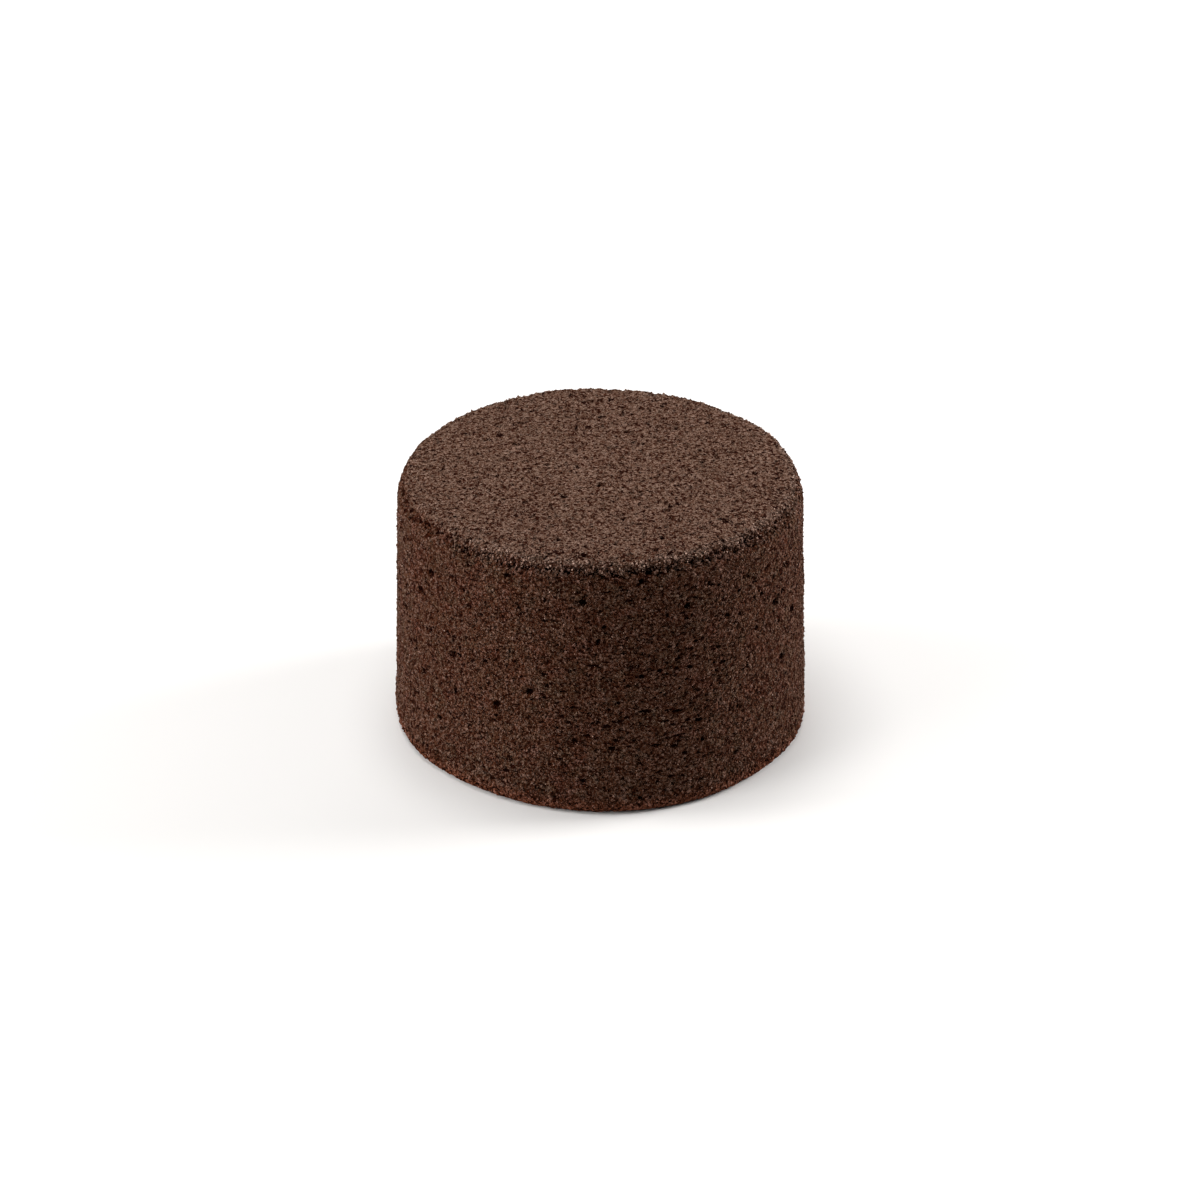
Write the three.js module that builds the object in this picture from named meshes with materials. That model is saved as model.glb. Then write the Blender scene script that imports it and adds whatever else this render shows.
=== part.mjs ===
// Chocolate mud cake: one round, uncut cake that stands on its flat base.
// Millimetres, +Z up, origin at the middle of the base.

import * as THREE from 'three';
import { mergeVertices } from 'three/addons/utils/BufferGeometryUtils.js';

// Driving dimensions.
const HEIGHT = 103;
const TOP_DIAMETER = 152; // a six-inch tin
const BASE_DIAMETER = 157.2; // the cake spreads a little towards its base
const RIM_ROUNDING = 9; // top edge, where the crust has worn round
const BASE_ROUNDING = 2; // bottom edge of the crust

// How far the cake is from a true round, as waves around its outline.
// Each wave grows in a straight line from atBase to atTop.
const OUTLINE_WAVES = [
  { lobes: 1, turn: 0, atBase: 0.2, atTop: 0.2 },
  { lobes: 2, turn: 1.6, atBase: 0.7, atTop: 0.2 },
  { lobes: 3, turn: -1.7, atBase: 1.0, atTop: -0.6 },
  { lobes: 5, turn: 0.8, atBase: 0.3, atTop: -0.2 },
  { lobes: 8, turn: 2.2, atBase: 0.15, atTop: 0.2 },
];

// Shallow swells of the side and of the top, with the spacing of their crests.
const SIDE_SWELL = { depth: 0.25, lobes: 11, spacing: 34 };
const TOP_SWELL = { depth: 0.35, spacingX: 61, spacingY: 47 };

// Facets: steps around the cake, and steps along each stretch of its outline.
const AROUND = 84;
const STEPS = { base: 2, baseRounding: 3, side: 11, rimRounding: 5, top: 7 };

const topRadius = TOP_DIAMETER / 2;
const baseRadius = BASE_DIAMETER / 2;
const shoulder = HEIGHT - RIM_ROUNDING; // where the side meets the rim's rounding

// Radius of the side at a height, without its unevenness.
function sideRadius(height) {
  return THREE.MathUtils.mapLinear(height, 0, HEIGHT, baseRadius, topRadius);
}

// Points on a quarter turn about (x, y), after its first point.
function quarterTurn(x, y, rounding, fromAngle, steps) {
  return Array.from({ length: steps }, (_, step) => {
    const angle = fromAngle + ((step + 1) / steps) * (Math.PI / 2);
    return new THREE.Vector2(x + rounding * Math.cos(angle), y + rounding * Math.sin(angle));
  });
}

// Points on a straight stretch, after its first point.
function straight(from, to, steps) {
  return Array.from({ length: steps }, (_, step) => from.clone().lerp(to, (step + 1) / steps));
}

// The cake's outline from the middle of its base to the middle of its top.
function outline() {
  const baseMiddle = new THREE.Vector2(0, 0);
  const baseEdge = new THREE.Vector2(sideRadius(BASE_ROUNDING) - BASE_ROUNDING, 0);
  const sideFoot = new THREE.Vector2(sideRadius(BASE_ROUNDING), BASE_ROUNDING);
  const sideHead = new THREE.Vector2(sideRadius(shoulder), shoulder);
  const topEdge = new THREE.Vector2(sideHead.x - RIM_ROUNDING, HEIGHT);
  const topMiddle = new THREE.Vector2(0, HEIGHT);
  return [
    baseMiddle,
    ...straight(baseMiddle, baseEdge, STEPS.base),
    ...quarterTurn(baseEdge.x, BASE_ROUNDING, BASE_ROUNDING, -Math.PI / 2, STEPS.baseRounding),
    ...straight(sideFoot, sideHead, STEPS.side),
    ...quarterTurn(topEdge.x, shoulder, RIM_ROUNDING, 0, STEPS.rimRounding),
    ...straight(topEdge, topMiddle, STEPS.top),
  ];
}

// How far the outline stands out from a true round at an azimuth and a height.
function outlineSwell(azimuth, height) {
  const rise = height / HEIGHT;
  const waves = OUTLINE_WAVES.reduce((sum, wave) => {
    const depth = THREE.MathUtils.lerp(wave.atBase, wave.atTop, rise);
    return sum + depth * Math.cos(wave.lobes * azimuth + wave.turn);
  }, 0);
  const climb = (2 * Math.PI * height) / SIDE_SWELL.spacing;
  return waves + SIDE_SWELL.depth * Math.sin(SIDE_SWELL.lobes * azimuth) * Math.sin(climb);
}

// Height of the top's swells; they fade out down the side, so the base stays flat.
function topSwell(x, y, height) {
  const fade = THREE.MathUtils.smoothstep(height, shoulder, HEIGHT);
  const across = Math.sin((2 * Math.PI * x) / TOP_SWELL.spacingX);
  const along = Math.cos((2 * Math.PI * y) / TOP_SWELL.spacingY);
  return fade * TOP_SWELL.depth * across * along;
}

// Moves each point out or in along its own radius, and the top up or down.
function makeUneven(geometry) {
  const position = geometry.getAttribute('position');
  const point = new THREE.Vector3();
  for (let i = 0; i < position.count; i += 1) {
    point.fromBufferAttribute(position, i);
    const azimuth = Math.atan2(point.y, point.x);
    const stretch = 1 + outlineSwell(azimuth, point.z) / sideRadius(point.z);
    const lift = topSwell(point.x, point.y, point.z);
    position.setXYZ(i, point.x * stretch, point.y * stretch, point.z + lift);
  }
}

// Puts the middle of the cake's own box over the origin.
function centreOverBase(geometry) {
  geometry.computeBoundingBox();
  const middle = geometry.boundingBox.getCenter(new THREE.Vector3());
  geometry.translate(-middle.x, -middle.y, 0);
}

// The whole cake as one closed, solid body.
function makeCake() {
  const turned = new THREE.LatheGeometry(outline(), AROUND);
  turned.rotateX(Math.PI / 2);
  turned.deleteAttribute('normal');
  turned.deleteAttribute('uv');
  const body = mergeVertices(turned, 1e-3);
  makeUneven(body);
  centreOverBase(body);
  body.computeVertexNormals();

  const crumb = new THREE.MeshStandardMaterial({ color: 0x5a4238, roughness: 0.9, metalness: 0 });
  const cake = new THREE.Mesh(body, crumb);
  cake.name = 'cake';
  return cake;
}

const part = new THREE.Group();
part.add(makeCake());

export default part;
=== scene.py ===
# A round chocolate mud cake, undecorated, standing on a pale studio floor.
import math

import bpy
import numpy as np
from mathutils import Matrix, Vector


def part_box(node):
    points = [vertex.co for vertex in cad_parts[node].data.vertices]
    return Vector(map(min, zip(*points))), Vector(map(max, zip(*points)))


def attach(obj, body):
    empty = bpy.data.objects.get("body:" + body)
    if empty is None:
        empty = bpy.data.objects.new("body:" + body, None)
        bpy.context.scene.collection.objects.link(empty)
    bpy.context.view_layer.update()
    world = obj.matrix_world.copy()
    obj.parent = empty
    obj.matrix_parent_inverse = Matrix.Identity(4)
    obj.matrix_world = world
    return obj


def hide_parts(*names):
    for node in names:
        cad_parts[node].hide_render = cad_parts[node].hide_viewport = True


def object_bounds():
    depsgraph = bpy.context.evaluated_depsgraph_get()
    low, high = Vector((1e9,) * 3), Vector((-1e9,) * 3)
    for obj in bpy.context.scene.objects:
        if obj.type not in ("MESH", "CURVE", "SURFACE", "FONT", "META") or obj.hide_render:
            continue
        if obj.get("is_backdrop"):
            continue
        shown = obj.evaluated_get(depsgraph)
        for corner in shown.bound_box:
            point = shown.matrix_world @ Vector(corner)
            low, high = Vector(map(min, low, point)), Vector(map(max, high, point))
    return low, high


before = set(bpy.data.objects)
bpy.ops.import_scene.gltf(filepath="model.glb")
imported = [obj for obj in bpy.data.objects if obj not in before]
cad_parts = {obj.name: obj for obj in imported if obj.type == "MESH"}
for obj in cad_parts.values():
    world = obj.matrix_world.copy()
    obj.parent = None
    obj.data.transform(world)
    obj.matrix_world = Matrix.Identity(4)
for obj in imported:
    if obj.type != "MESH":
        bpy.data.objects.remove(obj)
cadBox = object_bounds()
print("frame loaded")

mm = 0.001  # the scene is in metres, sizes below are in millimetres
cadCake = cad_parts["cake"]
cadLow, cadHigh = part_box("cake")
cakeHeight = cadHigh[2] / mm
baseRadius = (cadHigh[0] - cadLow[0]) / 2 / mm


def linear(hexColour):  # sRGB hex to the linear values that Blender wants
    parts = [int(hexColour[i:i + 2], 16) / 255 for i in (1, 3, 5)]
    parts = [c / 12.92 if c <= 0.04045 else ((c + 0.055) / 1.055) ** 2.4 for c in parts]
    return (*parts, 1.0)


def addNode(tree, kind, links=(), **settings):  # links by name, or as a list for the inputs in use
    node = tree.nodes.new(kind)
    for name, value in settings.items():
        setattr(node, name, value)
    inUse = [socket for socket in node.inputs if socket.enabled]
    for name, value in links.items() if isinstance(links, dict) else enumerate(links):
        socket = inUse[name] if isinstance(name, int) else node.inputs[name]
        if isinstance(value, bpy.types.Node):  # a node stands for its first output in use
            value = next(output for output in value.outputs if output.enabled)
        if isinstance(value, bpy.types.NodeSocket):
            tree.links.new(value, socket)
        else:
            socket.default_value = value
    return node


def newTree(name, sizes):  # geometry node tree with named number inputs
    tree = bpy.data.node_groups.new(name, "GeometryNodeTree")
    tree.interface.new_socket("Geometry", in_out="INPUT", socket_type="NodeSocketGeometry")
    tree.interface.new_socket("Geometry", in_out="OUTPUT", socket_type="NodeSocketGeometry")
    for label, value in sizes.items():
        socket = tree.interface.new_socket(label, in_out="INPUT", socket_type="NodeSocketFloat")
        socket.default_value = value
    return tree


def runTree(source, tree, sizes, name):  # applies the tree to a copy and gives back a plain mesh object
    worker = bpy.data.objects.new(name + "Worker", source.data)
    bpy.context.scene.collection.objects.link(worker)
    modifier = worker.modifiers.new("nodes", "NODES")
    modifier.node_group = tree
    for socket in tree.interface.items_tree:
        if socket.in_out == "INPUT" and socket.name in sizes:
            modifier[socket.identifier] = sizes[socket.name]
    bpy.context.view_layer.update()
    evaluated = worker.evaluated_get(bpy.context.evaluated_depsgraph_get())
    mesh = bpy.data.meshes.new_from_object(evaluated)
    worker.modifiers.clear()
    bpy.data.objects.remove(worker)
    mesh.name = name
    piece = bpy.data.objects.new(name, mesh)
    bpy.context.scene.collection.objects.link(piece)
    return piece


# the smooth cake: a cage of even quads, about as wide as a crumb, with its own UV map

cage = {
    "topCells": 144,  # quads along each side of the grid that fills the top
    "underCells": 48,  # the underside is never seen close up
    "underWidth": 0.985,  # of the base's flat part, so that triangles can join the two
    "rimRounding": 9.0,
    "baseRounding": 2.0,
    "topRadius": 76.0,
    "rows": {"base": 4, "side": 109, "rim": 17},
    "sheet": 346.0,  # side of the UV square
    "margin": 4.0,
    "strips": 3,  # the side is cut into this many strips on the UV square
}


def gridOnDisc(cells):  # square grid bent onto the unit disc, its edge evenly spaced
    steps = np.linspace(-1.0, 1.0, cells + 1)
    x, y = np.meshgrid(steps, steps)
    wide = np.abs(x) > np.abs(y)
    reach = np.where(wide, x, y)
    safe = np.where(reach == 0, 1.0, reach)
    turn = np.where(wide, y / safe * math.pi / 4, math.pi / 2 - x / safe * math.pi / 4)
    return np.stack([reach * np.cos(turn), reach * np.sin(turn)], axis=-1).reshape(-1, 2)


def gridEdge(cells):  # the grid's edge points, anticlockwise from the corner at -45 degrees
    row = cells + 1
    right = [i * row + cells for i in range(cells)]
    back = [cells * row + i for i in range(cells, 0, -1)]
    left = [i * row for i in range(cells, 0, -1)]
    front = list(range(cells))
    return right + back + left + front


def gridQuads(cells):
    row = cells + 1
    corner = (np.arange(cells)[:, None] * row + np.arange(cells)).ravel()
    return np.stack([corner, corner + 1, corner + row + 1, corner + row], axis=-1)


def sideOutline():  # radius, height and length along the side, from the base's edge to the top's edge
    rows, low, high = cage["rows"], cage["baseRounding"], cage["rimRounding"]
    points = []
    for i in range(rows["base"] + 1):
        angle = -math.pi / 2 * (1 - i / rows["base"])
        points.append((baseRadius - low + low * math.cos(angle), low + low * math.sin(angle)))
    shoulder = cakeHeight - high
    for i in range(1, rows["side"] + 1):
        part = i / rows["side"]
        points.append((baseRadius + (cage["topRadius"] - baseRadius) * part,
                       low + (shoulder - low) * part))
    for i in range(1, rows["rim"] + 1):
        angle = math.pi / 2 * i / rows["rim"]
        points.append((cage["topRadius"] - high + high * math.cos(angle),
                       shoulder + high * math.sin(angle)))
    points = np.array(points)
    steps = np.hypot(*np.diff(points, axis=0).T)
    return points, np.concatenate([[0.0], np.cumsum(steps)])


def makeCage():
    cells, under = cage["topCells"], cage["underCells"]
    columns = 4 * cells
    profile, along = sideOutline()
    rings = len(profile)
    azimuth = -math.pi / 4 + np.arange(columns) * 2 * math.pi / columns

    side = np.stack([
        profile[:, None, 0] * np.cos(azimuth),
        profile[:, None, 0] * np.sin(azimuth),
        np.repeat(profile[:, 1:], columns, axis=1),
    ], axis=-1).reshape(-1, 3)
    topFlat = gridOnDisc(cells) * profile[-1, 0]
    top = np.column_stack([topFlat, np.full(len(topFlat), cakeHeight)])
    underFlat = gridOnDisc(under) * profile[0, 0] * cage["underWidth"]
    bottom = np.column_stack([underFlat, np.zeros(len(underFlat))])
    topStart = len(side)
    underStart = topStart + len(top)
    points = np.concatenate([side, top, bottom])

    # the top grid's edge is the side's last ring
    weld = np.arange(len(points))
    weld[topStart + np.array(gridEdge(cells))] = (rings - 1) * columns + np.arange(columns)

    sheet, margin = cage["sheet"], cage["margin"]
    stripColumns = columns // cage["strips"]
    stripWidth = 2 * math.pi * baseRadius / cage["strips"]
    stripHeight = along[-1]
    discX = stripWidth + 2 * margin + baseRadius
    faces, places = [], []

    ring, column = np.meshgrid(np.arange(rings - 1), np.arange(columns), indexing="ij")
    ring, column = ring.ravel(), column.ravel()
    nextColumn = (column + 1) % columns
    faces.append(np.stack([
        ring * columns + column, ring * columns + nextColumn,
        (ring + 1) * columns + nextColumn, (ring + 1) * columns + column,
    ], axis=-1))
    strip = column // stripColumns
    left = margin + (column - strip * stripColumns) * stripWidth / stripColumns
    right = left + stripWidth / stripColumns
    lift = margin + strip * (stripHeight + margin)
    places.append(np.stack([
        np.stack([left, lift + along[ring]], axis=-1), np.stack([right, lift + along[ring]], axis=-1),
        np.stack([right, lift + along[ring + 1]], axis=-1), np.stack([left, lift + along[ring + 1]], axis=-1),
    ], axis=1))

    quads = gridQuads(cells)
    faces.append(weld[topStart + quads])
    places.append(topFlat[quads] + (discX, margin + baseRadius))
    quads = gridQuads(under)[:, ::-1]
    faces.append(underStart + quads)
    underCentre = (discX, 2 * margin + 3 * baseRadius)
    places.append(underFlat[quads] * (1, -1) + underCentre)

    # triangles that join the side's first ring to the coarser grid under the cake
    edge = underStart + np.array(gridEdge(under))
    share = columns // len(edge)
    triangles, trianglePlaces = [], []
    spot = np.array([points[:, 0], -points[:, 1]]).T + underCentre
    for i, corner in enumerate(edge):
        nextCorner = edge[(i + 1) % len(edge)]
        outer = [(i * share + k) % columns for k in range(share + 1)]
        turn = [(corner, outer[k + 1], outer[k]) for k in range(share)]
        turn.append((corner, nextCorner, outer[share]))
        triangles += turn
        trianglePlaces += [spot[list(t)] for t in turn]
    triangles = np.array(triangles)

    quadFaces = np.concatenate(faces)
    loops = np.concatenate([quadFaces.ravel(), triangles.ravel()])
    uv = np.concatenate([np.concatenate(places).reshape(-1, 2), np.array(trianglePlaces).reshape(-1, 2)])
    sizes = np.concatenate([np.full(len(quadFaces), 4), np.full(len(triangles), 3)])

    used = np.unique(loops)
    renumber = np.full(len(points), -1)
    renumber[used] = np.arange(len(used))
    mesh = bpy.data.meshes.new("cage")
    mesh.vertices.add(len(used))
    mesh.vertices.foreach_set("co", (points[used] * mm).ravel())
    mesh.loops.add(len(loops))
    mesh.loops.foreach_set("vertex_index", renumber[loops])
    mesh.polygons.add(len(sizes))
    mesh.polygons.foreach_set("loop_start", np.concatenate([[0], np.cumsum(sizes)[:-1]]))
    mesh.uv_layers.new(name="OFBake").uv.foreach_set("vector", (uv / sheet).ravel())
    mesh.update(calc_edges=True)
    mesh.polygons.foreach_set("use_smooth", np.ones(len(sizes), dtype=bool))
    mesh.validate()
    return bpy.data.objects.new("cage", mesh)


# pores that stand out in the photo: where they lie in its 1200 px frame, then millimetres wide and tall

shot = {
    "frame": 1200,  # pixels
    "back": 1548.0,  # mm in front of the cake's middle
    "height": 869.0,
    "tilt": 27.93,  # degrees below level
    "lens": 138.2,
    "sensor": 36.0,
}

largePores = [
    (650, 571, 3.4, 2.8), (642, 582, 1.8, 1.8), (583, 603, 2.6, 2.2), (688, 606, 2.0, 2.2),
    (710, 583, 1.4, 1.6), (727, 616, 2.6, 1.2), (776, 602, 3.2, 2.4), (430, 573, 3.0, 2.2),
    (507, 576, 2.8, 1.4), (405, 606, 4.0, 2.2), (420, 589, 3.0, 2.4), (453, 655, 1.8, 2.0),
    (459, 656, 1.5, 1.4), (485, 662, 1.9, 1.6), (598, 643, 1.6, 2.0), (604, 628, 1.4, 1.4),
    (529, 692, 2.8, 1.9), (544, 675, 2.2, 1.2), (592, 666, 4.0, 0.9), (634, 667, 4.2, 1.0),
    (642, 677, 2.0, 1.6), (660, 671, 2.0, 1.4), (690, 667, 2.4, 1.2), (678, 659, 2.2, 1.0),
    (723, 662, 2.6, 1.2), (719, 647, 1.8, 1.4), (696, 641, 2.0, 1.0), (783, 656, 3.0, 2.2),
    (496, 704, 2.4, 2.2), (572, 708, 3.6, 1.0), (439, 717, 2.0, 1.9), (736, 752, 2.2, 1.6),
    (506, 771, 2.8, 1.2), (583, 781, 3.0, 1.4), (640, 797, 2.0, 1.8), (423, 672, 2.6, 2.4),
    (455, 691, 1.6, 2.2), (417, 693, 2.4, 1.8), (645, 712, 4.2, 1.3), (699, 720, 2.6, 1.5),
    (688, 720, 2.4, 0.8), (584, 647, 2.3, 0.9), (618, 704, 2.4, 1.0), (678, 711, 4.1, 1.0),
    (618, 722, 3.0, 0.9), (607, 727, 3.2, 0.9), (597, 723, 2.6, 0.8), (568, 723, 1.8, 1.0),
    (577, 727, 1.8, 1.0), (562, 717, 1.6, 1.0), (680, 735, 5.0, 0.9), (703, 739, 1.6, 1.6),
    (657, 745, 3.8, 1.0), (675, 746, 3.0, 1.2), (612, 749, 2.2, 1.4), (574, 741, 2.0, 1.4),
    (617, 741, 2.2, 0.9), (587, 736, 2.0, 0.9), (627, 718, 2.0, 0.8), (406, 588, 3.5, 1.8),
    (463, 590, 1.6, 1.4), (447, 633, 1.8, 1.4), (545, 621, 2.0, 1.0), (430, 630, 1.2, 2.0),
    (415, 638, 1.4, 2.4), (787, 565, 2.4, 1.8), (767, 567, 1.8, 1.4), (749, 577, 1.6, 1.4),
    (762, 594, 1.8, 1.8), (768, 598, 1.4, 2.0), (783, 591, 2.4, 2.0), (793, 608, 3.0, 3.0),
    (717, 616, 1.8, 0.8), (757, 628, 1.6, 1.8), (525, 501, 1.7, 2.4), (515, 443, 1.5, 2.2),
    (455, 516, 1.3, 1.9), (600, 416, 1.8, 1.8), (600, 484, 2.1, 2.2), (564, 495, 2.5, 1.6),
    (622, 463, 1.5, 1.8), (559, 539, 1.8, 1.4), (478, 453, 1.3, 1.8), (579, 467, 1.3, 1.6),
    (680, 520, 1.4, 1.6), (700, 450, 1.4, 1.6), (623, 518, 1.7, 1.4), (584, 554, 2.1, 1.2),
    (671, 506, 1.8, 1.6), (726, 521, 2.0, 1.2), (722, 541, 2.1, 1.4), (662, 537, 1.8, 1.0),
]


def makePorePoints():  # one vertex for each large pore, on the smooth surface of the frame's cake
    tilt = math.radians(shot["tilt"])
    forward = Vector((0.0, math.cos(tilt), -math.sin(tilt)))
    up = Vector((0.0, math.sin(tilt), math.cos(tilt)))
    eye = Vector((0.0, -shot["back"] * mm, shot["height"] * mm))
    pixels = shot["lens"] / shot["sensor"] * shot["frame"]
    places, wide, tall = [], [], []
    for x, y, across, high in largePores:
        ray = forward * pixels + Vector((x - shot["frame"] / 2, 0, 0)) + up * (shot["frame"] / 2 - y)
        places.append(cadCake.ray_cast(eye, ray.normalized())[1])
        wide.append(across)
        tall.append(high)
    mesh = bpy.data.meshes.new("porePoints")
    mesh.from_pydata(places, [], [])
    mesh.attributes.new("wide", "FLOAT", "POINT").data.foreach_set("value", wide)
    mesh.attributes.new("tall", "FLOAT", "POINT").data.foreach_set("value", tall)
    return bpy.data.objects.new("porePoints", mesh)


# hollows: the same pattern is drawn on the mesh and, more finely, in its material

pits = {
    "spacing": 2.5,  # mm
    "flat": 2.4,  # how many times wider than tall
    "share": 0.368,  # the noise below this is a pit
    "patches": 12.0,  # mm between the places with more pits
    "patchy": 0.006,
}
holes = {  # round pores, and short level cracks: mm apart, and the radius in spacings
    "Pores": {"spacing": 7.0, "flat": 1.1, "share": 0.5, "least": 0.08, "most": 0.17},
    "Cracks": {"spacing": 8.0, "flat": 4.2, "share": 0.45, "least": 0.1, "most": 0.26},
}
wander = {"spacing": 1.5, "reach": 1.5}  # how the holes' outlines wander, in mm
meshEdges = {"pitStart": 0.0108, "pitFull": -0.0108, "holeFull": 0.3}  # as soft as the mesh needs
materialEdges = {"pitStart": 0.0048, "pitFull": -0.0084, "holeFull": 0.75}


def addHollows(tree, inMm, edges):  # gives 0 to 1 for pits, pores and cracks
    # pits: wherever a fine noise is low, more of them in some places
    wide, tall = 1 / pits["spacing"], pits["flat"] / pits["spacing"]
    place = addNode(tree, "ShaderNodeVectorMath", [inMm, (wide, wide, tall)], operation="MULTIPLY")
    fine = addNode(tree, "ShaderNodeTexNoise", {"Vector": place, "Scale": 1.0,
                                                "Detail": 2.0, "Roughness": 0.55})
    often = addNode(tree, "ShaderNodeTexNoise", {"Vector": inMm, "Scale": 1 / pits["patches"], "Detail": 1.0})
    level = addNode(tree, "ShaderNodeMath", [often, pits["patchy"], fine], operation="MULTIPLY_ADD")
    share = pits["share"] + pits["patchy"] / 2
    pit = addNode(tree, "ShaderNodeMapRange", [level, share + edges["pitStart"], share + edges["pitFull"]],
                  interpolation_type="SMOOTHSTEP")

    # single holes here and there, with an outline that wanders
    drift = addNode(tree, "ShaderNodeTexNoise",
                    {"Vector": inMm, "Scale": 1 / wander["spacing"], "Detail": 1.0})
    hollows = [pit]
    for hole in holes.values():
        wide, tall = 1 / hole["spacing"], hole["flat"] / hole["spacing"]
        reach = wander["reach"] / hole["spacing"]
        bend = addNode(tree, "ShaderNodeVectorMath",
                       [drift.outputs["Color"], (reach,) * 3, (-reach / 2,) * 3], operation="MULTIPLY_ADD")
        bent = addNode(tree, "ShaderNodeVectorMath", [inMm, (wide, wide, tall), bend],
                       operation="MULTIPLY_ADD")
        cells = addNode(tree, "ShaderNodeTexVoronoi", {"Vector": bent, "Scale": 1.0})
        chance = addNode(tree, "ShaderNodeSeparateXYZ", [cells.outputs["Color"]]).outputs
        radius = addNode(tree, "ShaderNodeMapRange", [chance[1], 0.0, 1.0, hole["least"], hole["most"]])
        inner = addNode(tree, "ShaderNodeMath", [radius, edges["holeFull"]], operation="MULTIPLY")
        inside = addNode(tree, "ShaderNodeMapRange", [cells.outputs["Distance"], radius, inner],
                         interpolation_type="SMOOTHSTEP")
        isHole = addNode(tree, "ShaderNodeMath", [chance[0], hole["share"]], operation="LESS_THAN")
        hollows.append(addNode(tree, "ShaderNodeMath", [inside, isHole], operation="MULTIPLY"))
    return hollows


# relief: the crumb's lumps, pits, pores and cracks, as real shape

relief = {  # depths in mm
    "Swell": 0.1,
    "Lumps": 0.06,
    "Cobbles": 0.42,
    "Pits": 1.0,
    "Pores": 2.0,
    "Cracks": 0.9,
    "Rim wear": 0.5,
    "Crest": 0.8,
    "Undercut": 1.8,
}

smoothing = 5  # rounds of blurring, which take away the facets of the frame's cake
waves = {"Swell": 17.0, "Lumps": 4.2}  # noise spacing in mm
waveSpan = (0.25, 0.75)  # the noise at their troughs and crests
cobbles = {"spacing": 2.0, "span": (0.1, 0.75)}  # mm, and how far from their middles they are high and low
stretch = {  # the photo's large pores, in pore widths from their middle
    "near": 3.0,  # further off than this, a point belongs to no pore
    "none": 9.0,
    "ragged": 1.3,  # mm between the bends of the outline
    "raggedBy": 0.45,
    "meshEdge": (0.945, 0.525),
    "materialEdge": (0.845, 0.725),
    "deep": 1.1,
}
rim = {  # angles round the rim in radians, from level at 0 to upright at half pi, and spacings in mm
    "crest": ((0.66, 0.88), (1.35, 0.95)),
    "under": ((0.2, 0.4), (0.84, 0.7)),
    "uneven": 7.0,
    "sway": 0.25,
    "bites": 2.4,
    "bitten": (0.5, 0.64),
    "gaps": 1.7,
    "gapped": (0.47, 0.56),
}
underside = -0.7  # faces that look further down than this rest on the floor


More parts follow.
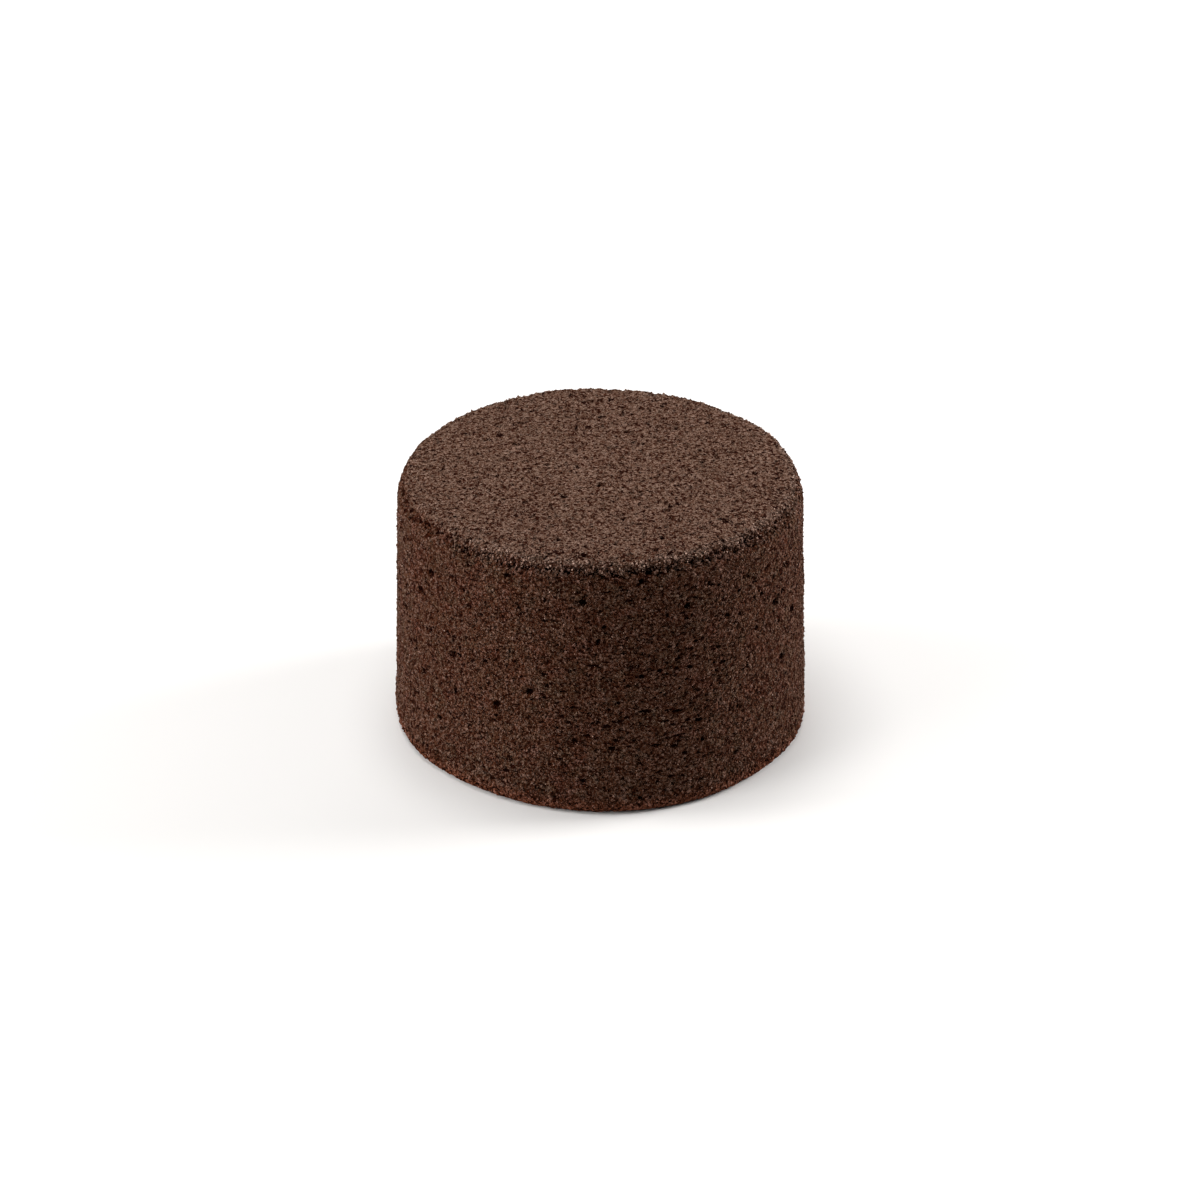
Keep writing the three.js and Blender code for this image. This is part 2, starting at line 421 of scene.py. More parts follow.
def makeReliefTree(porePoints):
    tree = newTree("cakeRelief", relief)
    given = addNode(tree, "NodeGroupInput").outputs
    frameCake = addNode(tree, "GeometryNodeObjectInfo", {"Object": cadCake}).outputs["Geometry"]
    nearest = addNode(tree, "GeometryNodeProximity", [frameCake], target_element="FACES").outputs["Position"]
    onFrame = addNode(tree, "GeometryNodeSetPosition", {"Geometry": given["Geometry"], "Position": nearest})
    place = addNode(tree, "GeometryNodeInputPosition")
    even = addNode(tree, "GeometryNodeBlurAttribute", {"Value": place, "Iterations": smoothing},
                   data_type="FLOAT_VECTOR")
    smooth = addNode(tree, "GeometryNodeSetPosition", {"Geometry": onFrame, "Position": even})
    inMm = addNode(tree, "ShaderNodeVectorMath", [place, 1 / mm], operation="SCALE")
    axes = addNode(tree, "ShaderNodeSeparateXYZ", [inMm]).outputs

    height = 0.0
    for name, spacing in waves.items():
        noise = addNode(tree, "ShaderNodeTexNoise", {"Vector": inMm, "Scale": 1 / spacing, "Detail": 1.0})
        wave = addNode(tree, "ShaderNodeMapRange", [noise, *waveSpan, -1.0, 1.0])
        height = addNode(tree, "ShaderNodeMath", [wave, given[name], height], operation="MULTIPLY_ADD")
    cells = addNode(tree, "ShaderNodeTexVoronoi", {"Vector": inMm, "Scale": 1 / cobbles["spacing"]})
    rounded = addNode(tree, "ShaderNodeMapRange", [cells, *cobbles["span"], 0.5, -0.5])
    height = addNode(tree, "ShaderNodeMath", [rounded, given["Cobbles"], height], operation="MULTIPLY_ADD")

    hole = 0.0
    for name, part in zip(("Pits", "Pores", "Cracks"), addHollows(tree, inMm, meshEdges)):
        deep = addNode(tree, "ShaderNodeMath", [part, given[name]], operation="MULTIPLY")
        hole = addNode(tree, "ShaderNodeMath", [hole, deep], operation="MAXIMUM")

    # the large pores, each as wide, tall and deep as its point says
    points = addNode(tree, "GeometryNodeObjectInfo", {"Object": porePoints}).outputs["Geometry"]
    closest = addNode(tree, "GeometryNodeSampleNearest", [points], domain="POINT")
    middle = addNode(tree, "GeometryNodeSampleIndex", {"Geometry": points, "Value": place, "Index": closest},
                     data_type="FLOAT_VECTOR", domain="POINT")
    measured = {}
    for name in ("wide", "tall"):
        stored = addNode(tree, "GeometryNodeInputNamedAttribute", {"Name": name}, data_type="FLOAT")
        measured[name] = addNode(tree, "GeometryNodeSampleIndex",
                                 {"Geometry": points, "Value": stored, "Index": closest},
                                 data_type="FLOAT", domain="POINT")
    away = addNode(tree, "ShaderNodeVectorMath", [place, middle], operation="SUBTRACT")
    away = addNode(tree, "ShaderNodeVectorMath", [away, 1 / mm], operation="SCALE")
    spread = addNode(tree, "ShaderNodeCombineXYZ", [measured["wide"], measured["wide"], measured["tall"]])
    pore = addNode(tree, "ShaderNodeVectorMath", [away, spread], operation="DIVIDE")
    reach = addNode(tree, "ShaderNodeVectorMath", [pore], operation="LENGTH")
    isNear = addNode(tree, "ShaderNodeMath", [reach, stretch["near"]], operation="LESS_THAN")
    pore = addNode(tree, "ShaderNodeMix", [isNear, (stretch["none"],) * 3, pore], data_type="VECTOR")
    ragged = addNode(tree, "ShaderNodeTexNoise",
                     {"Vector": inMm, "Scale": 1 / stretch["ragged"], "Detail": 1.0})
    ragged = addNode(tree, "ShaderNodeMath", [ragged, stretch["raggedBy"], reach], operation="MULTIPLY_ADD")
    large = addNode(tree, "ShaderNodeMapRange", [ragged, *stretch["meshEdge"]],
                    interpolation_type="SMOOTHSTEP")
    for size in (addNode(tree, "ShaderNodeMath", [measured["wide"], measured["tall"]], operation="MINIMUM"),
                 stretch["deep"]):
        large = addNode(tree, "ShaderNodeMath", [large, size], operation="MULTIPLY")
    hole = addNode(tree, "ShaderNodeMath", [hole, large], operation="MAXIMUM")

    # the rim: a broken crest half way round its rounding, with hollows running in under it
    outwards = addNode(tree, "ShaderNodeCombineXYZ", [axes[0], axes[1]])
    outwards = addNode(tree, "ShaderNodeVectorMath", [outwards], operation="LENGTH")
    across = addNode(tree, "ShaderNodeMath", [outwards, cage["topRadius"] - cage["rimRounding"]],
                     operation="SUBTRACT")
    upwards = addNode(tree, "ShaderNodeMath", [axes[2], cakeHeight - cage["rimRounding"]],
                      operation="SUBTRACT")
    turn = addNode(tree, "ShaderNodeMath", [upwards, across], operation="ARCTAN2")
    noises = {}
    for name, detail in {"uneven": 1.0, "bites": 1.5, "gaps": 1.0}.items():
        noises[name] = addNode(tree, "ShaderNodeTexNoise",
                               {"Vector": inMm, "Scale": 1 / rim[name], "Detail": detail})
    sway = addNode(tree, "ShaderNodeMapRange", [noises["uneven"], 0.0, 1.0, -rim["sway"], rim["sway"]])
    turn = addNode(tree, "ShaderNodeMath", [turn, sway], operation="ADD")
    bands = {}
    for name in ("crest", "under"):
        rise, fall = [addNode(tree, "ShaderNodeMapRange", [turn, *ends], interpolation_type="SMOOTHSTEP")
                      for ends in rim[name]]
        bands[name] = addNode(tree, "ShaderNodeMath", [rise, fall], operation="MULTIPLY")
    bitten = addNode(tree, "ShaderNodeMapRange", [noises["bites"], *rim["bitten"], 0.0, given["Rim wear"]],
                     interpolation_type="SMOOTHSTEP")
    crest = addNode(tree, "ShaderNodeMath", [given["Crest"], bitten], operation="SUBTRACT")
    height = addNode(tree, "ShaderNodeMath", [bands["crest"], crest, height], operation="MULTIPLY_ADD")
    gap = addNode(tree, "ShaderNodeMapRange", [noises["gaps"], *rim["gapped"], 0.0, given["Undercut"]],
                  interpolation_type="SMOOTHSTEP")
    gap = addNode(tree, "ShaderNodeMath", [gap, bands["under"]], operation="MULTIPLY")
    hole = addNode(tree, "ShaderNodeMath", [hole, gap], operation="MAXIMUM")
    height = addNode(tree, "ShaderNodeMath", [height, hole], operation="SUBTRACT")

    # the underside only gives inwards, so that the cake rests flat
    facing = addNode(tree, "GeometryNodeInputNormal")
    facingUp = addNode(tree, "ShaderNodeSeparateXYZ", [facing]).outputs["Z"]
    isUnder = addNode(tree, "ShaderNodeMath", [facingUp, underside], operation="LESS_THAN")
    inwards = addNode(tree, "ShaderNodeMath", [height, 0.0], operation="MINIMUM")
    height = addNode(tree, "ShaderNodeMix", [isUnder, height, inwards], data_type="FLOAT")
    kept = addNode(tree, "GeometryNodeStoreNamedAttribute",
                   {"Geometry": smooth, "Name": "hollow", "Value": hole}, domain="POINT")
    kept = addNode(tree, "GeometryNodeStoreNamedAttribute", {"Geometry": kept, "Name": "pore", "Value": pore},
                   data_type="FLOAT_VECTOR", domain="POINT")
    offset = addNode(tree, "ShaderNodeMath", [height, mm], operation="MULTIPLY")
    offset = addNode(tree, "ShaderNodeVectorMath", [facing, offset], operation="SCALE")
    shaped = addNode(tree, "GeometryNodeSetPosition", {"Geometry": kept, "Offset": offset})
    solid = addNode(tree, "GeometryNodeRealizeInstances", [shaped])
    finish = addNode(tree, "GeometryNodeSetMaterial", {"Geometry": solid, "Material": bodyCrumb})
    addNode(tree, "NodeGroupOutput", [finish])
    return tree


# materials: baked mud cake crumb

crumbLook = {
    "deep": "#180300",  # inside the pores, where little light gets
    # the dark step: painted shade in the gaps between grains, and the crumb's own darkest tone
    "dark": "#361507",
    "brown": "#4c3021",
    "red": "#502e20",
    "olive": "#4a3222",
    # the top's colour is painted light and sheen: paler and greyer than the side's crumb
    "top": "#60493c",
    "foot": "#683925",
    # painted glint: the pale pinkish colour that the glossy grains' palest spots are painted
    "moistGlint": "#caa693",
    "sheen": "#a8745a",
    # painted highlight and sheen: the palest spots are partly the crumb's own paler tone and partly painted
    # light, and their greyness is painted sheen
    "palest": 1.9,  # the palest spots are this much brighter than the crumb around them
    "paintedSheenGrey": 0.055,  # and this much greyer
    "grain": 1.5,  # mm across
    "grainFlat": 1.25,
    "grainBend": (1.8, 1.2),  # mm between the bends of their outlines, and how far those go
    "grainHeight": 0.7,
    "grainEdge": 0.4,  # how far in from its outline a grain is at its full height
    "speck": 1.2,
    "speckHeight": 1.1,
    "finest": 0.6,
    "patches": {"red": 9.0, "olive": 7.0},  # mm between them
    "middle": 0.5,  # how pale the crumb is without its grain, from 0 to 1
    "glossSpread": 0.1,  # how much the roughness changes from speck to speck
    "ior": 1.45,
    "sheenWeight": 0.03,
    "sheenRoughness": 0.35,
}
mottles = {  # the range of each noise, and how much paler or darker it makes the crumb: random tone, and on the specks also painted light, paler where their bump stands higher
    "specks": (0.3, 0.7, 0.24),
    "finest": (0.3, 0.7, 0.2),
    "grains": (0.0, 1.0, 0.08),
}
topFade = (cakeHeight - 4.0, cakeHeight - 1.2)  # mm up, where the side's crumb turns into the top's, which is painted paler and greyer as light and sheen
tints = {  # where each colour starts, where it is full, and how much of it there is then
    "red": (0.47, 0.7, 1.0),  # these two by their noise
    "olive": (0.48, 0.68, 1.0),
    # the top's tint is painted light and sheen on the top
    "top": (*topFade, 0.75),  # and these by mm up
    "foot": (8.0, 0.0, 1.0),
}
paleSteps = {"dark": (0.0, 0.22), "shade": (0.2, 0.5), "pale": (0.5, 1.0)}  # from deep to palest
gapKinds = {  # gaps between grains, painted dark as shade: level over most of the cake, round on the side's left and right
    "level": {"spacing": 1.4, "flat": 1.5, "share": 0.4},
    "round": {"spacing": 2.0, "flat": 0.8, "share": 0.432},
}
gapEdge = (0.012, -0.018)  # round the share
roundFrom = (50.0, 72.0)  # mm left or right of the middle
sunkFrom = (1.0, 1.4)  # mm deep, where the mesh's own hollows are painted dark as shade
hollowShadeAndSink = {  # how dark each kind is painted, as shade in the hollow, and how many mm its bump sinks
    "gap": (0.82, 0.5),
    "sunk": (1.0, 0.0),
    "pit": (1.0, 0.6),
    "pore": (1.0, 0.9),
    "crack": (1.0, 0.7),
    "large": (1.0, 1.0),
}


def makeCrumb(name, specular, roughness, lift, paintedGlintShare):
    material = bpy.data.materials.new(name)
    material.use_nodes = True
    tree = material.node_tree
    tree.nodes.clear()
    place = addNode(tree, "ShaderNodeTexCoord").outputs["Object"]
    inMm = addNode(tree, "ShaderNodeVectorMath", [place, 1 / mm], operation="SCALE")
    axes = addNode(tree, "ShaderNodeSeparateXYZ", [inMm]).outputs
    stored = {}
    for key, kind in {"hollow": "Fac", "pore": "Vector", "loose": "Fac", "tone": "Fac"}.items():
        stored[key] = addNode(tree, "ShaderNodeAttribute", attribute_name=key).outputs[kind]

    # grains, with outlines that wander
    bends, bendBy = crumbLook["grainBend"]
    warp = addNode(tree, "ShaderNodeTexNoise", {"Vector": inMm, "Scale": 1 / bends, "Detail": 1.0})
    bent = addNode(tree, "ShaderNodeVectorMath", [warp.outputs["Color"], (bendBy,) * 3, inMm],
                   operation="MULTIPLY_ADD")
    wide, tall = 1 / crumbLook["grain"], crumbLook["grainFlat"] / crumbLook["grain"]
    bent = addNode(tree, "ShaderNodeVectorMath", [bent, (wide, wide, tall)], operation="MULTIPLY")
    grains = addNode(tree, "ShaderNodeTexVoronoi", {"Vector": bent, "Scale": 1.0})
    outline = addNode(tree, "ShaderNodeTexVoronoi", {"Vector": bent, "Scale": 1.0},
                      feature="DISTANCE_TO_EDGE")

    # gaps between them
    gaps = []
    for kind in gapKinds.values():
        wide, tall = 1 / kind["spacing"], kind["flat"] / kind["spacing"]
        squeezed = addNode(tree, "ShaderNodeVectorMath", [inMm, (wide, wide, tall)], operation="MULTIPLY")
        noise = addNode(tree, "ShaderNodeTexNoise", {"Vector": squeezed, "Scale": 1.0, "Detail": 1.0})
        gaps.append(addNode(tree, "ShaderNodeMapRange", [noise, *[kind["share"] + edge for edge in gapEdge]],
                            interpolation_type="SMOOTHSTEP"))
    sideways = addNode(tree, "ShaderNodeMath", [axes[0]], operation="ABSOLUTE")
    sideways = addNode(tree, "ShaderNodeMapRange", [sideways, *roundFrom], interpolation_type="SMOOTHSTEP")
    below = addNode(tree, "ShaderNodeMapRange", [axes[2], *reversed(topFade)],
                    interpolation_type="SMOOTHSTEP")
    isRound = addNode(tree, "ShaderNodeMath", [sideways, below], operation="MULTIPLY")
    gap = addNode(tree, "ShaderNodeMix", [isRound, *gaps], data_type="FLOAT")

    # the mesh's own hollows, and the photo's large pores
    sunk = addNode(tree, "ShaderNodeMapRange", [stored["hollow"], *sunkFrom], interpolation_type="SMOOTHSTEP")
    reach = addNode(tree, "ShaderNodeVectorMath", [stored["pore"]], operation="LENGTH")
    ragged = addNode(tree, "ShaderNodeTexNoise",
                     {"Vector": inMm, "Scale": 1 / stretch["ragged"], "Detail": 1.0})
    ragged = addNode(tree, "ShaderNodeMath", [ragged, stretch["raggedBy"], reach], operation="MULTIPLY_ADD")
    large = addNode(tree, "ShaderNodeMapRange", [ragged, *stretch["materialEdge"]],
                    interpolation_type="SMOOTHSTEP")

    # all of them are painted dark, as shade, and sink into the crumb, but a loose grain lies over them
    dark, drop = 0.0, 0.0
    parts = [gap, sunk, *addHollows(tree, inMm, materialEdges), large]
    for part, (darkBy, dropBy) in zip(parts, hollowShadeAndSink.values()):
        share = addNode(tree, "ShaderNodeMath", [part, darkBy], operation="MULTIPLY")
        dark = addNode(tree, "ShaderNodeMath", [dark, share], operation="MAXIMUM")
        share = addNode(tree, "ShaderNodeMath", [part, dropBy], operation="MULTIPLY")
        drop = addNode(tree, "ShaderNodeMath", [drop, share], operation="MAXIMUM")
    fixed = addNode(tree, "ShaderNodeMath", [1.0, stored["loose"]], operation="SUBTRACT")
    dark, drop = [addNode(tree, "ShaderNodeMath", [value, fixed], operation="MULTIPLY")
                  for value in (dark, drop)]

    # how pale each spot is: its grain, specks on it, and a loose grain's own tone, less the painted shade of
    # the hollows
    specks = addNode(tree, "ShaderNodeTexNoise", {"Vector": inMm, "Scale": 1 / crumbLook["speck"],
                                                  "Detail": 1.0, "Roughness": 0.6})
    finest = addNode(tree, "ShaderNodeTexNoise", {"Vector": inMm, "Scale": 1 / crumbLook["finest"],
                                                  "Detail": 1.0})
    chance = addNode(tree, "ShaderNodeSeparateXYZ", [grains.outputs["Color"]]).outputs[0]
    level = addNode(tree, "ShaderNodeMath", [stored["tone"], crumbLook["middle"] + lift], operation="ADD")
    for part, (low, high, by) in zip((specks, finest, chance), mottles.values()):
        part = addNode(tree, "ShaderNodeMapRange", [part, low, high, -by, by])
        level = addNode(tree, "ShaderNodeMath", [level, part], operation="ADD")
    light = addNode(tree, "ShaderNodeMath", [1.0, dark], operation="SUBTRACT")
    level = addNode(tree, "ShaderNodeMath", [level, light], operation="MULTIPLY")

    # the crumb's colour before its grain: mottled, paler and greyer on top as painted light and sheen, redder
    # at the foot
    patches = {}
    for key, spacing in crumbLook["patches"].items():
        patches[key] = addNode(tree, "ShaderNodeTexNoise", {"Vector": inMm, "Scale": 1 / spacing,
                                                            "Detail": 3.0, "Roughness": 0.6})
    shade = linear(crumbLook["brown"])
    for key, (start, full, most) in tints.items():
        value = patches.get(key, axes[2])
        factor = addNode(tree, "ShaderNodeMapRange", [value, start, full, 0.0, most],
                         interpolation_type="SMOOTHSTEP")
        shade = addNode(tree, "ShaderNodeMix", [factor, shade, linear(crumbLook[key])], data_type="RGBA")
    pale = addNode(tree, "ShaderNodeVectorMath", [shade, (crumbLook["palest"],) * 3,
                                                  (crumbLook["paintedSheenGrey"],) * 3], operation="MULTIPLY_ADD")
    pale = addNode(tree, "ShaderNodeMix", [paintedGlintShare, pale, linear(crumbLook["moistGlint"])], data_type="RGBA")
    colour = linear(crumbLook["deep"])
    for paler, step in zip((linear(crumbLook["dark"]), shade, pale), paleSteps.values()):
        factor = addNode(tree, "ShaderNodeMapRange", [level, *step])
        colour = addNode(tree, "ShaderNodeMix", [factor, colour, paler], data_type="RGBA")

    height = addNode(tree, "ShaderNodeMapRange",
                     [outline, 0.0, crumbLook["grainEdge"], 0.0, crumbLook["grainHeight"]],
                     interpolation_type="SMOOTHSTEP")
    height = addNode(tree, "ShaderNodeMath", [specks, crumbLook["speckHeight"], height],
                     operation="MULTIPLY_ADD")
    height = addNode(tree, "ShaderNodeMath", [height, drop], operation="SUBTRACT")
    bump = addNode(tree, "ShaderNodeBump", {"Height": height, "Distance": mm, "Strength": 1.0})
    spread = crumbLook["glossSpread"]
    rough = addNode(tree, "ShaderNodeMapRange", [specks, 0.0, 1.0, roughness + spread, roughness - spread])
    shader = addNode(tree, "ShaderNodeBsdfPrincipled", {
        "Base Color": colour, "Roughness": rough, "IOR": crumbLook["ior"], "Specular IOR Level": specular,
        "Sheen Weight": crumbLook["sheenWeight"], "Sheen Roughness": crumbLook["sheenRoughness"],
        "Sheen Tint": linear(crumbLook["sheen"]), "Normal": bump})
    addNode(tree, "ShaderNodeOutputMaterial", {"Surface": shader})
    return material


# Dense baked mud cake: a tight crumb of 1 to 2 mm grains with gaps between them, cut by its own pores.
# It is so full of tiny holes that it hardly reflects, so it is matt; its pores are painted nearly black, as
# shade.
# The faint brown sheen is light that its rough skin sends back at a glancing angle.
bodyCrumb = makeCrumb("bakedMudCakeCrumb", specular=0.03, roughness=0.85, lift=0.0, paintedGlintShare=0.0)
# Grains of the same crumb with moist, closed skins, which make them glossy. Their small pinkish glints are
# partly that gloss and partly painted highlight: the grains are painted paler and towards a pale pinkish
# colour.
moistCrumb = makeCrumb("moistMudCakeCrumb", specular=0.3, roughness=0.4, lift=0.4, paintedGlintShare=0.8)
cageObject = makeCage()
print("cage made", len(cageObject.data.polygons))
cakeBody = runTree(cageObject, makeReliefTree(makePorePoints()), relief, "cakeBody")
print("relief made", len(cakeBody.data.polygons))


# loose and half-loose grains of crumb, one piece for each kind

crumbKinds = {  # grains on each square mm, radius, faces, how far they sink in, and where they lie, in mm
    # Paler is how much paler a kind's grains are made; on the side, rim and glint grains this is partly
    # painted light on grains that stand out
    "sideFineCrumb": {
        "Density": 0.46, "Least": 0.26, "Most": 0.55, "Segments": 4, "Rings": 2, "Sunk": 0.1, "Low": 2.0,
        "High": 99.0, "Inner": 60.0, "Left": -200.0, "Clear": 1.0, "Paler": 0.12, "Seed": 1},
    "sideCoarseCrumb": {
        "Density": 0.11, "Least": 0.4, "Most": 0.78, "Segments": 5, "Rings": 3, "Sunk": 0.3, "Low": 3.0,
        "High": 98.0, "Inner": 60.0, "Left": -200.0, "Clear": 1.0, "Paler": 0.18, "Seed": 2},
    "topFineCrumb": {
        "Density": 0.9, "Least": 0.25, "Most": 0.5, "Segments": 4, "Rings": 2, "Sunk": 0.5, "Low": 99.5,
        "High": 120.0, "Inner": -1.0, "Left": -200.0, "Clear": 1.0, "Paler": 0.0, "Seed": 3},
    "rimCrumb": {
        "Density": 1.2, "Least": 0.3, "Most": 0.62, "Segments": 5, "Rings": 3, "Sunk": 0.0, "Low": 96.5,
        "High": 102.2, "Inner": 70.5, "Left": -68.0, "Clear": 0.0, "Paler": 0.24, "Seed": 4},
    "footCrumb": {
        "Density": 0.5, "Least": 0.45, "Most": 1.15, "Segments": 6, "Rings": 4, "Sunk": 0.5, "Low": 2.3,
        "High": 10.0, "Inner": 70.0, "Left": -200.0, "Clear": 1.0, "Paler": 0.0, "Seed": 5},
    "rimMoistCrumb": {
        "Density": 0.5, "Least": 0.2, "Most": 0.46, "Segments": 5, "Rings": 3, "Sunk": 0.0, "Low": 97.5,
        "High": 101.8, "Inner": 70.5, "Left": -65.0, "Clear": 0.5, "Paler": 0.2, "Seed": 6},
    "sideMoistCrumb": {
        "Density": 0.01, "Least": 0.2, "Most": 0.36, "Segments": 5, "Rings": 3, "Sunk": 0.2, "Low": 3.0,
        "High": 99.0, "Inner": 60.0, "Left": -200.0, "Clear": 1.0, "Paler": 0.0, "Seed": 7},
}
grainShape = {
    "shapes": 5,
    "shapeStep": 7.0,  # between the shapes in the noise that dents them
    "dents": 1.1,  # on each radius
    "dentBy": 1.4,
    "smaller": 1.8,  # above 1, more of the grains are small
    "squat": 0.75,
    "long": 1.25,
    "toneSpread": 0.38,  # how much paler or darker a grain can be
    "waver": (4.0, 1.0),  # mm between the bends of each kind's border, and how far those go
    "fade": 40.0,  # mm over which a kind gets as dense as it can, from its left
    "inHollow": (0.1, 0.35),  # no grains where the mesh is hollow, in mm
    "seeds": {"turn": 11, "size": 12, "squash": 13, "tone": 14},
}


def makeCrumbTree(sizes, material):
    tree = newTree(material.name + "Tree", sizes)
    given = addNode(tree, "NodeGroupInput").outputs
    place = addNode(tree, "GeometryNodeInputPosition")
    inMm = addNode(tree, "ShaderNodeVectorMath", [place, 1 / mm], operation="SCALE")
    axes = addNode(tree, "ShaderNodeSeparateXYZ", [inMm]).outputs
    outwards = addNode(tree, "ShaderNodeCombineXYZ", [axes[0], axes[1]])
    outwards = addNode(tree, "ShaderNodeVectorMath", [outwards], operation="LENGTH")
    bends, bendBy = grainShape["waver"]
    waver = addNode(tree, "ShaderNodeTexNoise", {"Vector": inMm, "Scale": 1 / bends})
    waver = addNode(tree, "ShaderNodeMapRange", [waver, 0.0, 1.0, -bendBy, bendBy])
    level = addNode(tree, "ShaderNodeMath", [axes[2], waver], operation="ADD")
    faded = addNode(tree, "ShaderNodeMath", [given["Left"], grainShape["fade"]], operation="ADD")
    hollow = addNode(tree, "GeometryNodeInputNamedAttribute", {"Name": "hollow"}, data_type="FLOAT")
    inHollow = addNode(tree, "ShaderNodeMapRange", [hollow, *grainShape["inHollow"], 0.0, given["Clear"]],
                       interpolation_type="SMOOTHSTEP")
    shares = [
        addNode(tree, "ShaderNodeMath", [level, given["Low"]], operation="GREATER_THAN"),
        addNode(tree, "ShaderNodeMath", [level, given["High"]], operation="LESS_THAN"),
        addNode(tree, "ShaderNodeMath", [outwards, given["Inner"]], operation="GREATER_THAN"),
        addNode(tree, "ShaderNodeMapRange", [axes[0], given["Left"], faded], interpolation_type="SMOOTHSTEP"),
        addNode(tree, "ShaderNodeMath", [1.0, inHollow], operation="SUBTRACT"),
    ]
    density = addNode(tree, "ShaderNodeMath", [given["Density"], mm * mm], operation="DIVIDE")
    for share in shares:
        density = addNode(tree, "ShaderNodeMath", [density, share], operation="MULTIPLY")
    scatter = addNode(tree, "GeometryNodeDistributePointsOnFaces",
                      {"Mesh": given["Geometry"], "Density": density, "Seed": given["Seed"]}).outputs

    # a few shapes of grain, dented at random
    shapes = addNode(tree, "GeometryNodeJoinGeometry")
    for i in range(grainShape["shapes"]):
        ball = addNode(tree, "GeometryNodeMeshUVSphere", {"Segments": given["Segments"],
                                                          "Rings": given["Rings"], "Radius": 1.0})
        dents = addNode(tree, "ShaderNodeTexNoise", {"Vector": place, "W": grainShape["shapeStep"] * i,
                                                     "Scale": grainShape["dents"]}, noise_dimensions="4D")
        dents = addNode(tree, "ShaderNodeVectorMath", [dents.outputs["Color"], (grainShape["dentBy"],) * 3,
                                                       (-grainShape["dentBy"] / 2,) * 3],
                        operation="MULTIPLY_ADD")
        dented = addNode(tree, "GeometryNodeSetPosition", {"Geometry": ball.outputs["Mesh"], "Offset": dents})
        single = addNode(tree, "GeometryNodeGeometryToInstance", [dented])
        tree.links.new(single.outputs[0], shapes.inputs[0])
    seeds = grainShape["seeds"]
    turn = addNode(tree, "FunctionNodeRandomValue", {1: (2 * math.pi,) * 3, "Seed": seeds["turn"]},
                   data_type="FLOAT_VECTOR")
    chance = addNode(tree, "FunctionNodeRandomValue", {"Seed": seeds["size"]}, data_type="FLOAT")
    chance = addNode(tree, "ShaderNodeMath", [chance, grainShape["smaller"]], operation="POWER")
    size = addNode(tree, "ShaderNodeMapRange", [chance, 0.0, 1.0, given["Least"], given["Most"]])
    size = addNode(tree, "ShaderNodeMath", [size, mm], operation="MULTIPLY")
    scale = addNode(tree, "FunctionNodeRandomValue", {0: (grainShape["squat"],) * 3,
                                                      1: (grainShape["long"],) * 3,
                                                      "Seed": seeds["squash"]},
                    data_type="FLOAT_VECTOR")
    scale = addNode(tree, "ShaderNodeVectorMath", [scale, size], operation="SCALE")
    sink = addNode(tree, "ShaderNodeMath", [size, given["Sunk"]], operation="MULTIPLY")
    sink = addNode(tree, "ShaderNodeMath", [sink, -1.0], operation="MULTIPLY")
    sink = addNode(tree, "ShaderNodeVectorMath", [scatter["Normal"], sink], operation="SCALE")
    spread = grainShape["toneSpread"]
    tone = addNode(tree, "FunctionNodeRandomValue", {0: -spread, 1: spread, "Seed": seeds["tone"]},
                   data_type="FLOAT")
    tone = addNode(tree, "ShaderNodeMath", [tone, given["Paler"]], operation="ADD")
    points = scatter["Points"]
    for key, kind, value in (("root", "FLOAT_VECTOR", place), ("lean", "QUATERNION", scatter["Rotation"]),
                             ("tone", "FLOAT", tone), ("loose", "FLOAT", 1.0)):
        points = addNode(tree, "GeometryNodeStoreNamedAttribute", {"Geometry": points, "Name": key,
                                                                   "Value": value},
                         data_type=kind, domain="POINT")
    points = addNode(tree, "GeometryNodeSetPosition", {"Geometry": points, "Offset": sink})
    copies = addNode(tree, "GeometryNodeInstanceOnPoints", {
        "Points": points, "Instance": shapes, "Pick Instance": True, "Rotation": turn, "Scale": scale})
    solid = addNode(tree, "GeometryNodeRealizeInstances", [copies])

    # each grain lies on the UV map where it sits on the cake
    stored = {}
    for key, kind in {"root": "FLOAT_VECTOR", "lean": "QUATERNION", "OFBake": "FLOAT_VECTOR"}.items():
        stored[key] = addNode(tree, "GeometryNodeInputNamedAttribute", {"Name": key}, data_type=kind)
    away = addNode(tree, "ShaderNodeVectorMath", [place, stored["root"]], operation="SUBTRACT")
    back = addNode(tree, "FunctionNodeInvertRotation", [stored["lean"]])
    local = addNode(tree, "FunctionNodeRotateVector", {"Vector": away, "Rotation": back})
    onSheet = 1 / (cage["sheet"] * mm)
    uv = addNode(tree, "ShaderNodeVectorMath", [local, (onSheet, onSheet, 0.0), stored["OFBake"]],
                 operation="MULTIPLY_ADD")
    mapped = addNode(tree, "GeometryNodeStoreNamedAttribute",
                     {"Geometry": solid, "Name": "OFBake", "Value": uv}, data_type="FLOAT2", domain="CORNER")
    for key in ("root", "lean", "hollow", "pore", "UVMap"):
        mapped = addNode(tree, "GeometryNodeRemoveAttribute", {"Geometry": mapped, "Name": key})
    soft = addNode(tree, "GeometryNodeSetShadeSmooth", {"Geometry": mapped})
    finish = addNode(tree, "GeometryNodeSetMaterial", {"Geometry": soft, "Material": material})
    addNode(tree, "NodeGroupOutput", [finish])
    return tree


dryTree = makeCrumbTree(crumbKinds["rimCrumb"], bodyCrumb)
moistTree = makeCrumbTree(crumbKinds["rimMoistCrumb"], moistCrumb)
crumbPieces = []
for name, sizes in crumbKinds.items():
    piece = runTree(cakeBody, moistTree if "Moist" in name else dryTree, sizes, name)
    crumbPieces.append(piece)
    print(name, sum(len(face.vertices) - 2 for face in piece.data.polygons), "triangles")


# floor, light and camera

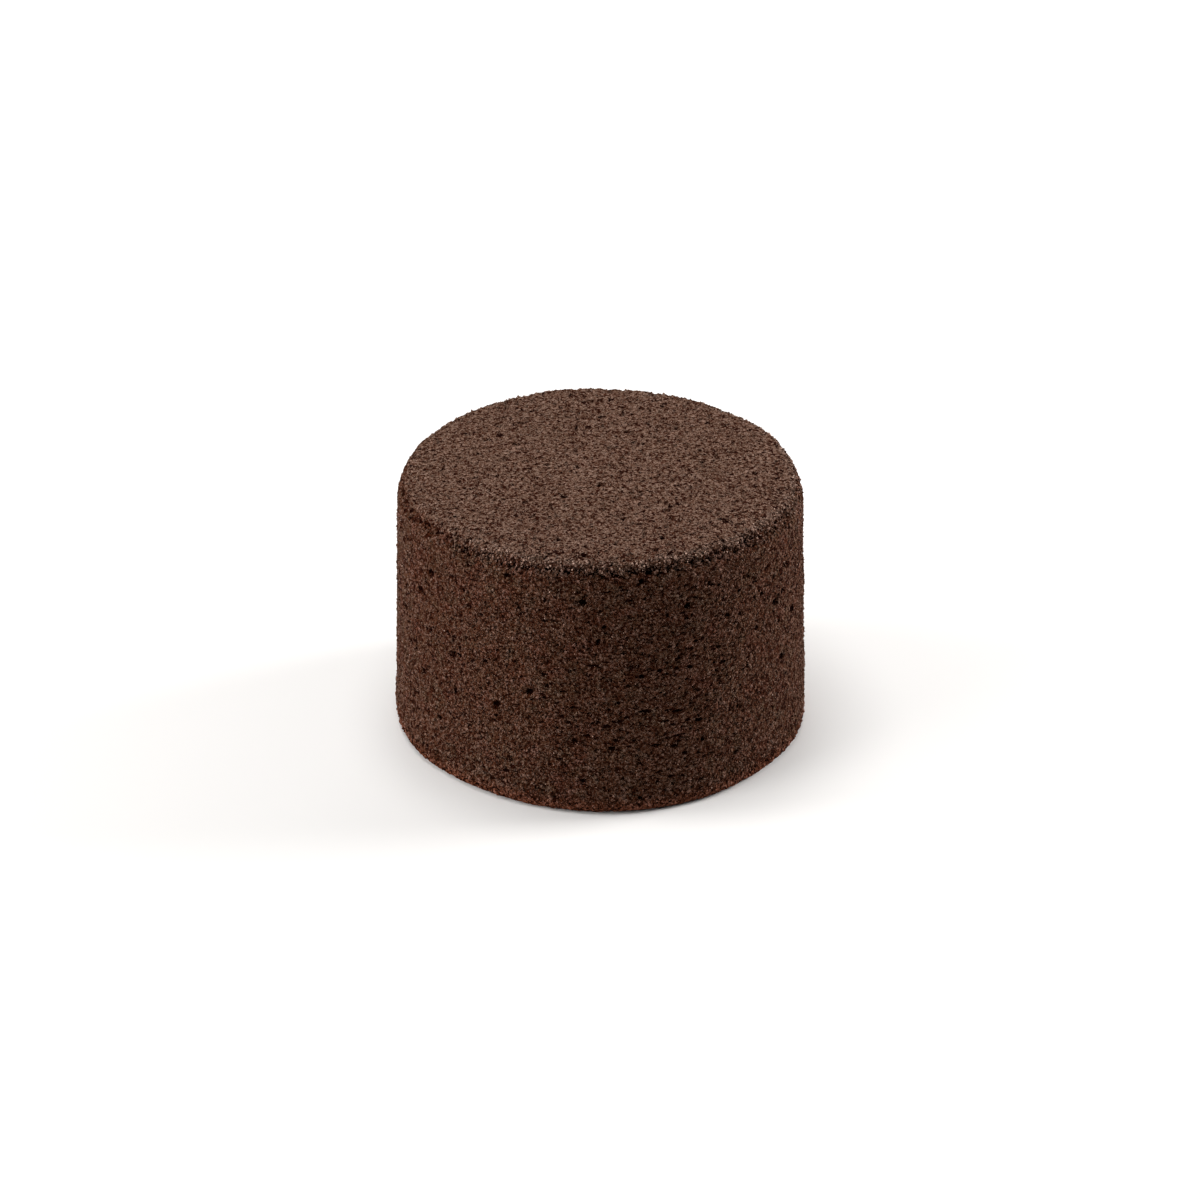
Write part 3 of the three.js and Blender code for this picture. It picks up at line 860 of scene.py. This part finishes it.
studio = {
    "floorReach": 6.0,  # metres
    "floor": "#dedcda",
    "floorRoughness": 0.6,
    "world": "#ffffff",
    "worldStrength": 0.034,  # light that comes from all round
    "worldSeen": 0.85,  # how bright the backdrop itself looks
}
lamps = {  # metres
    "key": {"place": (-0.1, 0.03, 1.25), "target": (0, 0, 0.05), "size": 0.7, "watts": 10.2},
    "left": {"place": (-0.92, -0.6, 0.5), "target": (0, 0, 0.05), "size": 0.6, "watts": 6.6},
    "farLeft": {"place": (-1.1, 0.0, 0.5), "target": (0, 0, 0.05), "size": 0.6, "watts": 11.7},
    "right": {"place": (1.06, 0.3, 0.5), "target": (0, 0, 0.05), "size": 0.6, "watts": 19.2},
    "farFloor": {"place": (0.0, 1.1, 0.6), "target": (0, 1.3, 0), "size": 0.8, "watts": 9.0},
}


def makeFloor():
    mesh = bpy.data.meshes.new("floor")
    reach = studio["floorReach"]
    mesh.from_pydata([(-reach, -reach, 0), (reach, -reach, 0), (reach, reach, 0), (-reach, reach, 0)],
                     [], [(0, 1, 2, 3)])
    floor = bpy.data.objects.new("floor", mesh)
    bpy.context.scene.collection.objects.link(floor)
    # Pale painted studio floor: nearly matt, so it takes a soft shadow and hardly reflects.
    paint = bpy.data.materials.new("paleStudioFloor")
    paint.use_nodes = True
    shader = paint.node_tree.nodes["Principled BSDF"]
    shader.inputs["Base Color"].default_value = linear(studio["floor"])
    shader.inputs["Roughness"].default_value = studio["floorRoughness"]
    mesh.materials.append(paint)
    return floor


def makeLights():
    for name, look in lamps.items():
        lamp = bpy.data.lights.new(name, "AREA")
        lamp.shape = "DISK"
        lamp.size = look["size"]
        lamp.energy = look["watts"]
        thing = bpy.data.objects.new(name, lamp)
        thing.location = look["place"]
        away = Vector(look["target"]) - thing.location
        thing.rotation_euler = away.to_track_quat("-Z", "Y").to_euler()
        bpy.context.scene.collection.objects.link(thing)
    world = bpy.data.worlds.new("studio")
    world.use_nodes = True
    tree = world.node_tree
    tree.nodes.clear()
    seen = addNode(tree, "ShaderNodeLightPath").outputs["Is Camera Ray"]
    strength = addNode(tree, "ShaderNodeMapRange",
                       [seen, 0.0, 1.0, studio["worldStrength"], studio["worldSeen"]])
    background = addNode(tree, "ShaderNodeBackground",
                         {"Color": linear(studio["world"]), "Strength": strength})
    addNode(tree, "ShaderNodeOutputWorld", {"Surface": background})
    bpy.context.scene.world = world
    bpy.context.scene.view_settings.view_transform = "Standard"


def makeCamera():
    camera = bpy.data.cameras.new("camera")
    camera.lens = shot["lens"]
    camera.sensor_width = shot["sensor"]
    thing = bpy.data.objects.new("camera", camera)
    thing.location = (0.0, -shot["back"] * mm, shot["height"] * mm)
    thing.rotation_euler = (math.radians(90 - shot["tilt"]), 0.0, 0.0)
    bpy.context.scene.collection.objects.link(thing)
    bpy.context.scene.camera = thing


floor = makeFloor()
makeLights()
makeCamera()
print("studio made")

floor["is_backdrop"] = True
for piece in [cakeBody, *crumbPieces]:
    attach(piece, "root")
    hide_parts("cake")

sizes = {"cad": [list(c) for c in cadBox], "visual": [list(c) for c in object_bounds()]}
print("sizes", sizes)
